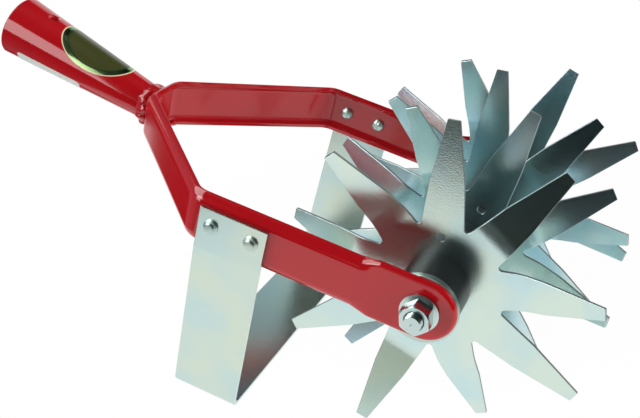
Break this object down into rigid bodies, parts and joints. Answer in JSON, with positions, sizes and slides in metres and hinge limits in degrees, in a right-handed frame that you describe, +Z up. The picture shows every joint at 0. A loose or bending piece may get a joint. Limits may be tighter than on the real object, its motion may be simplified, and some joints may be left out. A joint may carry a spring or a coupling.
{
  "type": "rotary hand cultivator head",
  "caption": "Rotary hand cultivator head: free-turning star wheels on an axle in a pressed fork, a stirrup weeding blade behind them and a tapered handle socket.",
  "frame": {"origin": "centre of the handle socket's mouth", "axes": "+X forward from the socket to the star wheels, +Y to the left, +Z up; the head stands on level ground on its blade and its lowest tooth"},
  "size_m": [0.3374, 0.1886, 0.1742],
  "materials": {
    "red_paint": "gloss",
    "zinc": "bright zinc plate",
    "black_plastic": "satin"
  },
  "bodies": {
    "frame": {"fork_yoke": "red_paint", "handle_socket": "red_paint", "stirrup_blade": "zinc", "rivet_right_rear": "zinc", "rivet_right_front": "zinc", "rivet_left_rear": "zinc", "rivet_left_front": "zinc", "axle": "zinc", "washer_right": "zinc", "washer_left": "zinc", "flange_nut_right": "zinc", "flange_nut_left": "zinc"},
    "wheel_1": {"star_wheel_1": "zinc", "hub_bush_1_right": "black_plastic", "hub_bush_1_left": "black_plastic"},
    "wheel_2": {"star_wheel_2": "zinc", "hub_bush_2_right": "black_plastic", "hub_bush_2_left": "black_plastic"},
    "wheel_3": {"star_wheel_3": "zinc", "hub_bush_3_right": "black_plastic", "hub_bush_3_left": "black_plastic"},
    "wheel_4": {"star_wheel_4": "zinc", "hub_bush_4_right": "black_plastic", "hub_bush_4_left": "black_plastic"}
  },
  "joints": [
    {"name": "wheel_1_spin", "type": "hinge", "parent": "frame", "child": "wheel_1", "pos_m": [0.25452, 0, -0.08326], "axis": [0, 1, 0], "continuous": true},
    {"name": "wheel_2_spin", "type": "hinge", "parent": "frame", "child": "wheel_2", "pos_m": [0.25452, 0, -0.08326], "axis": [0, 1, 0], "continuous": true},
    {"name": "wheel_3_spin", "type": "hinge", "parent": "frame", "child": "wheel_3", "pos_m": [0.25452, 0, -0.08326], "axis": [0, 1, 0], "continuous": true},
    {"name": "wheel_4_spin", "type": "hinge", "parent": "frame", "child": "wheel_4", "pos_m": [0.25452, 0, -0.08326], "axis": [0, 1, 0], "continuous": true}
  ]
}
